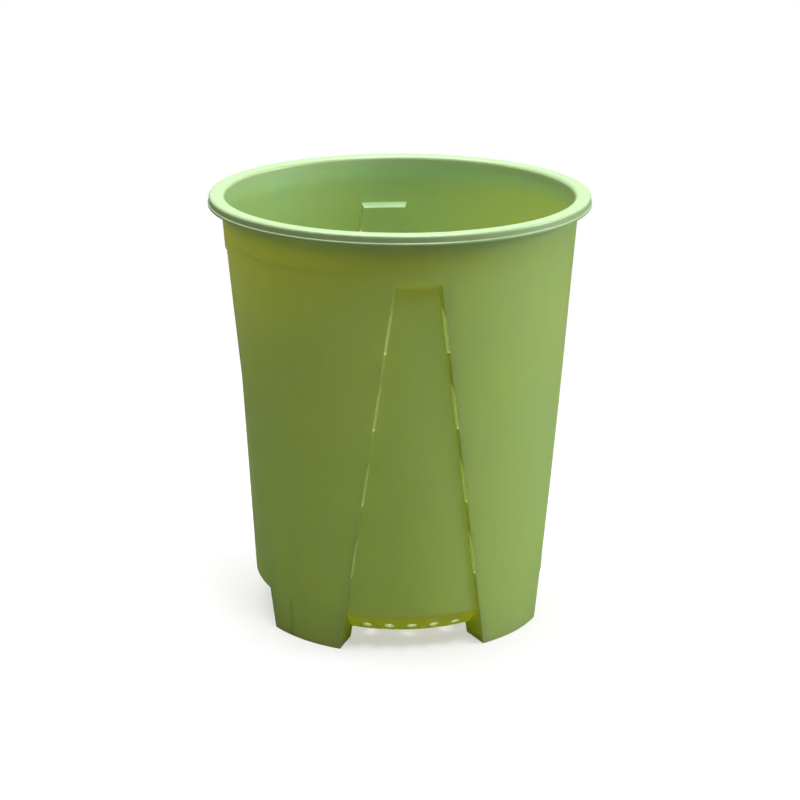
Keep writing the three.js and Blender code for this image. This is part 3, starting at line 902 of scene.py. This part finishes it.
# %% Materials
class Shader:
    """One procedural material, to which nodes are added by type, settings and inputs."""

    def __init__(self, name, kind=bpy.data.materials):
        self.material = kind.new(name)
        self.material.use_nodes = True
        self.tree = self.material.node_tree
        self.tree.nodes.clear()

    def node(self, kind, settings=None, inputs=None, output=0):
        """Adds a node with its settings and inputs, and returns one of its outputs."""
        made = self.tree.nodes.new(kind)
        for name, setting in (settings or {}).items():
            setattr(made, name, setting)
        for name, value in (inputs or {}).items():
            if isinstance(value, Value):
                self.tree.links.new(value.socket, made.inputs[name])
            else:
                made.inputs[name].default_value = value
        return Value(self, made.outputs[output])

    def noise(self, vector, scale, detail=2.0, roughness=0.5, distortion=0.0):
        """Noise from 0 to 1 over a vector, with `scale` waves to a metre."""
        inputs = {"Vector": vector, "Scale": scale, "Detail": detail, "Roughness": roughness,
                  "Distortion": distortion}
        return self.node("ShaderNodeTexNoise", None, inputs)

    def mix(self, factor, first, second):
        """Colour between two colours: a colour Mix node takes them on sockets 6 and 7 and gives output 2."""
        inputs = {0: factor, 6: first, 7: second}
        return self.node("ShaderNodeMix", {"data_type": "RGBA"}, inputs, output=2)

    def mix_shaders(self, factor, first, second):
        """Shader between two shaders."""
        return self.node("ShaderNodeMixShader", None, {0: factor, 1: first, 2: second})

    def translucent(self, colour, **inputs):
        """Light that passes through a thin wall and leaves it in all directions on the other side."""
        return self.node("ShaderNodeBsdfTranslucent", None, {"Color": colour, **inputs})

    def stretched(self, vector, x, y, z):
        """A vector with its parts multiplied by x, y and z."""
        return self.node("ShaderNodeVectorMath", {"operation": "MULTIPLY"}, {0: vector, 1: (x, y, z)})

    def attribute(self, name):
        """The number that the mesh stores under a name."""
        return self.node("ShaderNodeAttribute", {"attribute_name": name}, output=2)

    def bump(self, height, distance, normal=None):
        """Normal tilted by a height, which is worth a distance in metres, on top of another normal."""
        inputs = {"Height": height, "Distance": distance, "Strength": 1.0}
        if normal:
            inputs["Normal"] = normal
        return self.node("ShaderNodeBump", None, inputs)

    def output(self, surface, kind="ShaderNodeOutputMaterial"):
        """Ends the material or world with a shader and returns it."""
        self.tree.links.new(surface.socket, self.tree.nodes.new(kind).inputs["Surface"])
        return self.material


def srgb(red, green, blue):
    """Linear colour, with alpha, from the 0-255 values that a picture shows."""
    values = np.array([red, green, blue]) / 255
    linear = np.where(values <= 0.04045, values / 12.92, ((values + 0.055) / 1.055) ** 2.4)
    return (*linear.tolist(), 1.0)


# %% [markdown]
# ## Green polypropylene
#
# The wall is thin enough for light to shine through, which makes the green yellower. Subsurface scattering
# suits thick bodies, so here the surface is a mix of glossy plastic and a translucent sheet. Less light is
# let through on the lip, just under it and under the ceiling of a recess, as painted shade, and the lip is
# painted a duller green as painted shade too. Faces in slots and holes let more light through and are painted
# paler, as a painted glow of the light that comes out of the wall's cut edge. A closed cut between two pieces
# lets all light through, as if it weren't there.
#
# Small marks keep the plastic from looking too clean: soft clouds and streaks in the colour, fine grain,
# scuffs that are stronger on the soles, and a thin dark upright line low on the outer wall of one foot.

# %% Colours
COOL_GREEN = srgb(158, 210, 154)
WARM_GREEN = srgb(179, 215, 144)
SCUFFED = srgb(208, 226, 182)
# A darker green for a thin upright line low on the outer wall of one foot.
FOOT_LINE_GREEN = srgb(88, 128, 70)
# Painted shade: a duller green for the lip.
PAINTED_SHADE_LIP_GREEN = srgb(172, 198, 152)
# Painted glow: a pale colour for the cut edges of slots and holes.
PAINTED_EDGE_GLOW = srgb(248, 255, 232)
WALL_LIGHT = srgb(246, 240, 36)
EDGE_LIGHT = srgb(254, 255, 236)
print("Base green in linear light:", [round(v, 2) for v in COOL_GREEN])

# %% Dark line on a foot
# A band runs from where its mask is 0 to where it is 1, in metres, here and below.
FOOT_LINE_ANGLE = math.radians(219.2)
FOOT_LINE_ACROSS = (-math.sin(FOOT_LINE_ANGLE), math.cos(FOOT_LINE_ANGLE))
FOOT_LINE_WIDTH_BAND = (0.0014, 0.0)
FOOT_LINE_HEIGHT_BAND = (0.0195, 0.015)
FOOT_LINE_OUTSIDE_BAND = (0.055, 0.058)


def dark_foot_line(x, y, z):
    """Mask of an upright line at FOOT_LINE_ANGLE: near its plane, low down and on the foot's outer wall."""
    off_plane = (x * FOOT_LINE_ACROSS[0] + y * FOOT_LINE_ACROSS[1]).math("ABSOLUTE")
    outwards = x * FOOT_LINE_ACROSS[1] - y * FOOT_LINE_ACROSS[0]
    return off_plane.ramp(*FOOT_LINE_WIDTH_BAND) * z.ramp(*FOOT_LINE_HEIGHT_BAND) * outwards.ramp(*FOOT_LINE_OUTSIDE_BAND)


# %% Painted shade on and under the lip and under a recess's ceiling
NEAR_LIP_BAND = (0.168, 0.1775)
LIP_BAND = (0.1765, 0.1782)
CEILING_BAND = (0.1575, 0.163)
SET_BACK_BAND = (0.0017, 0.0026)
UNDER_LIP_PAINTED_SHADE = 0.4
ON_LIP_PAINTED_SHADE = 0.2
UNDER_CEILING_PAINTED_SHADE = 0.85


def painted_shade(x, y, z):
    """Share of the through-light held back as painted shade on and under the lip and under a recess's
    ceiling, from height and from distance to the axis.
    """
    radius = (x * x + y * y).math("SQRT")
    wall_line = wall_radius(PANEL_TOP) * MM
    set_back = radius.ramp(*(wall_line - depth for depth in SET_BACK_BAND))
    near_lip, lip_mask = z.ramp(*NEAR_LIP_BAND), z.ramp(*LIP_BAND)
    return near_lip * UNDER_LIP_PAINTED_SHADE + lip_mask * ON_LIP_PAINTED_SHADE + z.ramp(*CEILING_BAND) * set_back * UNDER_CEILING_PAINTED_SHADE


# %% Plastic
WALL_GLOW = 0.46
EDGE_GLOW = 0.55
ROUGHNESS = 0.34
SOLE_BAND = (0.005, 0.0)
GRAIN_DEPTH = 0.00002
STREAK_DEPTH = 0.00006


def green_plastic():
    """Glossy plastic mixed with light that comes through it, and only such light at the closed cuts."""
    shader = Shader("green_polypropylene")
    place = shader.node("ShaderNodeTexCoord", output=3)
    x, y, z = (shader.node("ShaderNodeSeparateXYZ", None, {0: place}, output=axis) for axis in range(3))
    opening, cut = shader.attribute("opening"), shader.attribute("cut")

    clouds = shader.noise(place, scale=9.0, detail=3.0)
    streaks = shader.noise(shader.stretched(place, 1.0, 1.0, 0.12), 160.0, 3.0, 0.6, 0.4)
    grain = shader.noise(place, 2600.0, 2.0, 0.6)
    dapple = shader.noise(place, 420.0, 3.0, 0.55)
    marks = shader.noise(shader.stretched(place, 1.0, 1.0, 0.35), 75.0, 4.0, 0.7, 1.2)

    # The weights say how far each pattern can push the colour, the roughness or the relief.
    hue = (clouds - 0.5) * 0.9 + (streaks - 0.5) * 0.7 + 0.5
    scuffs = marks.ramp(0.64, 0.76)
    sole = z.ramp(*SOLE_BAND) * marks.ramp(0.35, 0.6)
    colour = shader.mix(hue.ramp(0.15, 0.85), COOL_GREEN, WARM_GREEN)
    colour = shader.mix(scuffs * 0.16 + sole * 0.3, colour, SCUFFED)
    # A thin dark upright line low on the outer wall of one foot.
    colour = shader.mix(dark_foot_line(x, y, z) * 0.45, colour, FOOT_LINE_GREEN)
    # Painted shade: a duller green over the lip keeps its top-lit crest from going white.
    colour = shader.mix(z.ramp(*LIP_BAND) * 0.7, colour, PAINTED_SHADE_LIP_GREEN)
    # Painted glow: faces in and at slots and holes are painted pale, like light coming out of the cut edge.
    colour = shader.mix(opening, colour, PAINTED_EDGE_GLOW)
    roughness = ROUGHNESS + (dapple - 0.5) * 0.16 + (streaks - 0.5) * 0.14 + scuffs * 0.14 + sole * 0.2
    relief = shader.bump(grain, GRAIN_DEPTH)
    relief = shader.bump(streaks + dapple * 0.3 + scuffs * 0.2, STREAK_DEPTH, relief)

    skin = shader.node("ShaderNodeBsdfPrincipled", None, {
        "Base Color": colour, "Roughness": roughness, "IOR": 1.49, "Specular IOR Level": 0.75,
        "Normal": relief})
    wall_light = shader.translucent(WALL_LIGHT, Normal=relief)
    edge_light = shader.translucent(EDGE_LIGHT, Normal=relief)
    light = shader.mix_shaders(opening, wall_light, edge_light)
    # Through-light is held back as painted shade on and under the lip and under a recess's ceiling.
    through = (WALL_GLOW + opening * (EDGE_GLOW - WALL_GLOW)) * (1 - painted_shade(x, y, z))
    wall = shader.mix_shaders(through, skin, light)
    return shader.output(shader.mix_shaders(cut, wall, shader.translucent((1, 1, 1, 1))))


plastic = green_plastic()
for piece in pieces.values():
    piece.data.materials.clear()
    piece.data.materials.append(plastic)
print(f"{len(pieces)} pieces wear {plastic.name}")

# %% [markdown]
# ## Stage, lamps and camera
#
# The pot stands on white ground. The key lamp is low on the right, a broad soft lamp hangs overhead and
# slightly behind, and a smaller one shines down from the front. A single lamp would leave the left of the pot
# too dark. The world adds light that grows towards the back. The camera sees it as plain white, and the
# ground fades into that white away from the pot, so that no horizon shows.


# %% Floor
MOTTLE = (0.86, 0.86, 0.86, 1), (0.9, 0.9, 0.9, 1)
UNSEEN_GREY = (0.12, 0.12, 0.12, 1)
FADE_BAND = (0.07, 0.4)
LEAST_FADE = 0.5


def white_floor():
    """White ground for the camera, which fades to the world's plain white away from the pot.

    For all other rays it is dark grey, so that it doesn't light the pot from below.
    """
    shader = Shader("white_floor")
    place = shader.node("ShaderNodeTexCoord", output=3)
    seen = shader.node("ShaderNodeLightPath", output="Is Camera Ray")
    pale = shader.mix(shader.noise(place, scale=3.0), *MOTTLE)
    ground = shader.node("ShaderNodeBsdfPrincipled", None, {
        "Base Color": shader.mix(seen, UNSEEN_GREY, pale), "Roughness": 0.8})
    white = shader.node("ShaderNodeEmission", None, {"Strength": 1.0})
    away = shader.node("ShaderNodeVectorMath", {"operation": "LENGTH"}, {0: place}, output=1)
    fade = (away.ramp(*FADE_BAND) * (1 - LEAST_FADE) + LEAST_FADE) * seen
    return shader.output(shader.mix_shaders(fade, ground, white))


bpy.ops.mesh.primitive_plane_add(size=12.0, location=(0, 0, 0))
floor = bpy.context.object
floor.name = "floor"
floor.data.materials.append(white_floor())
print(f"Floor of {floor.dimensions.x:.0f} m")


# %% Lamps
def area_lamp(name, place, target, size, power):
    """A round white lamp at a place, turned towards a target. Lengths are in metres, power in watts."""
    lamp = bpy.data.lights.new(name, "AREA")
    lamp.shape = "DISK"
    lamp.size = size
    lamp.energy = power
    holder = bpy.data.objects.new(name, lamp)
    holder.location = place
    holder.rotation_euler = (Vector(target) - Vector(place)).to_track_quat("-Z", "Y").to_euler()
    bpy.context.scene.collection.objects.link(holder)
    print(f"{name}: {power} W, {size} m across")


area_lamp("key_lamp", place=(1.3, -0.1, 0.55), target=(0, 0, 0.05), size=0.7, power=11.5)
area_lamp("top_lamp", place=(-0.1, 0.2, 1.5), target=(0, 0, 0.14), size=1.4, power=33)
area_lamp("front_lamp", place=(0.35, -0.75, 1.7), target=(0, 0, 0.08), size=0.7, power=13.5)

# %% World
ROOM = 0.03
BACKDROP = 0.85
BACKDROP_DIRECTION = (0, 0.85, 0.53)
BACKDROP_BAND = (0.0, 0.8)
DIFFUSE_SHARE = 0.3

world = Shader("white_world", bpy.data.worlds)
direction = world.node("ShaderNodeTexCoord", output=0)
towards_back = world.node("ShaderNodeVectorMath", {"operation": "DOT_PRODUCT"},
                          {0: direction, 1: BACKDROP_DIRECTION}, output=1)
room = towards_back.ramp(*BACKDROP_BAND) * (BACKDROP - ROOM) + ROOM
shown = world.node("ShaderNodeLightPath", output="Is Camera Ray")
glossy = world.node("ShaderNodeLightPath", output="Is Glossy Ray")
strength = shown + (1 - shown) * room * (glossy * (1 - DIFFUSE_SHARE) + DIFFUSE_SHARE)
sky = world.node("ShaderNodeBackground", None, {"Color": (1, 1, 1, 1), "Strength": strength})
world.output(sky, "ShaderNodeOutputWorld")
bpy.context.scene.world = world.material
print(f"World from {ROOM} to {BACKDROP}, and 1 for the camera")

# %% Camera
# A pinhole camera fitted to the photo. It stands DISTANCE from the pot's axis, turned round it and pitched
# down by angles in radians, and shifted a little to its right, in metres.
DISTANCE = 0.9
CAMERA_HEIGHT = 0.3798
CAMERA_TURN = 0.1004
CAMERA_PITCH = 0.3111
CAMERA_ROLL = 0.0028
CAMERA_SHIFT = 0.00028
FOCAL_PIXELS = 2199.0
PICTURE_PIXELS = 800
SENSOR = 36.0

camera_data = bpy.data.cameras.new("camera")
camera_data.sensor_width = SENSOR
camera_data.lens = FOCAL_PIXELS * SENSOR / PICTURE_PIXELS
camera = bpy.data.objects.new("camera", camera_data)
right = Vector((math.cos(CAMERA_TURN), -math.sin(CAMERA_TURN), 0))
camera.location = right * CAMERA_SHIFT + Vector((
    -DISTANCE * math.sin(CAMERA_TURN), -DISTANCE * math.cos(CAMERA_TURN), CAMERA_HEIGHT))
level = math.cos(CAMERA_PITCH)
look = Vector((math.sin(CAMERA_TURN) * level, math.cos(CAMERA_TURN) * level, -math.sin(CAMERA_PITCH)))
camera.rotation_euler = look.to_track_quat("-Z", "Y").to_euler()
camera.rotation_euler.rotate_axis("Z", CAMERA_ROLL)
bpy.context.scene.collection.objects.link(camera)
bpy.context.scene.camera = camera
bpy.context.scene.view_settings.view_transform = "Standard"
print(f"Camera with a {camera_data.lens:.0f} mm lens, {DISTANCE} m from the axis")
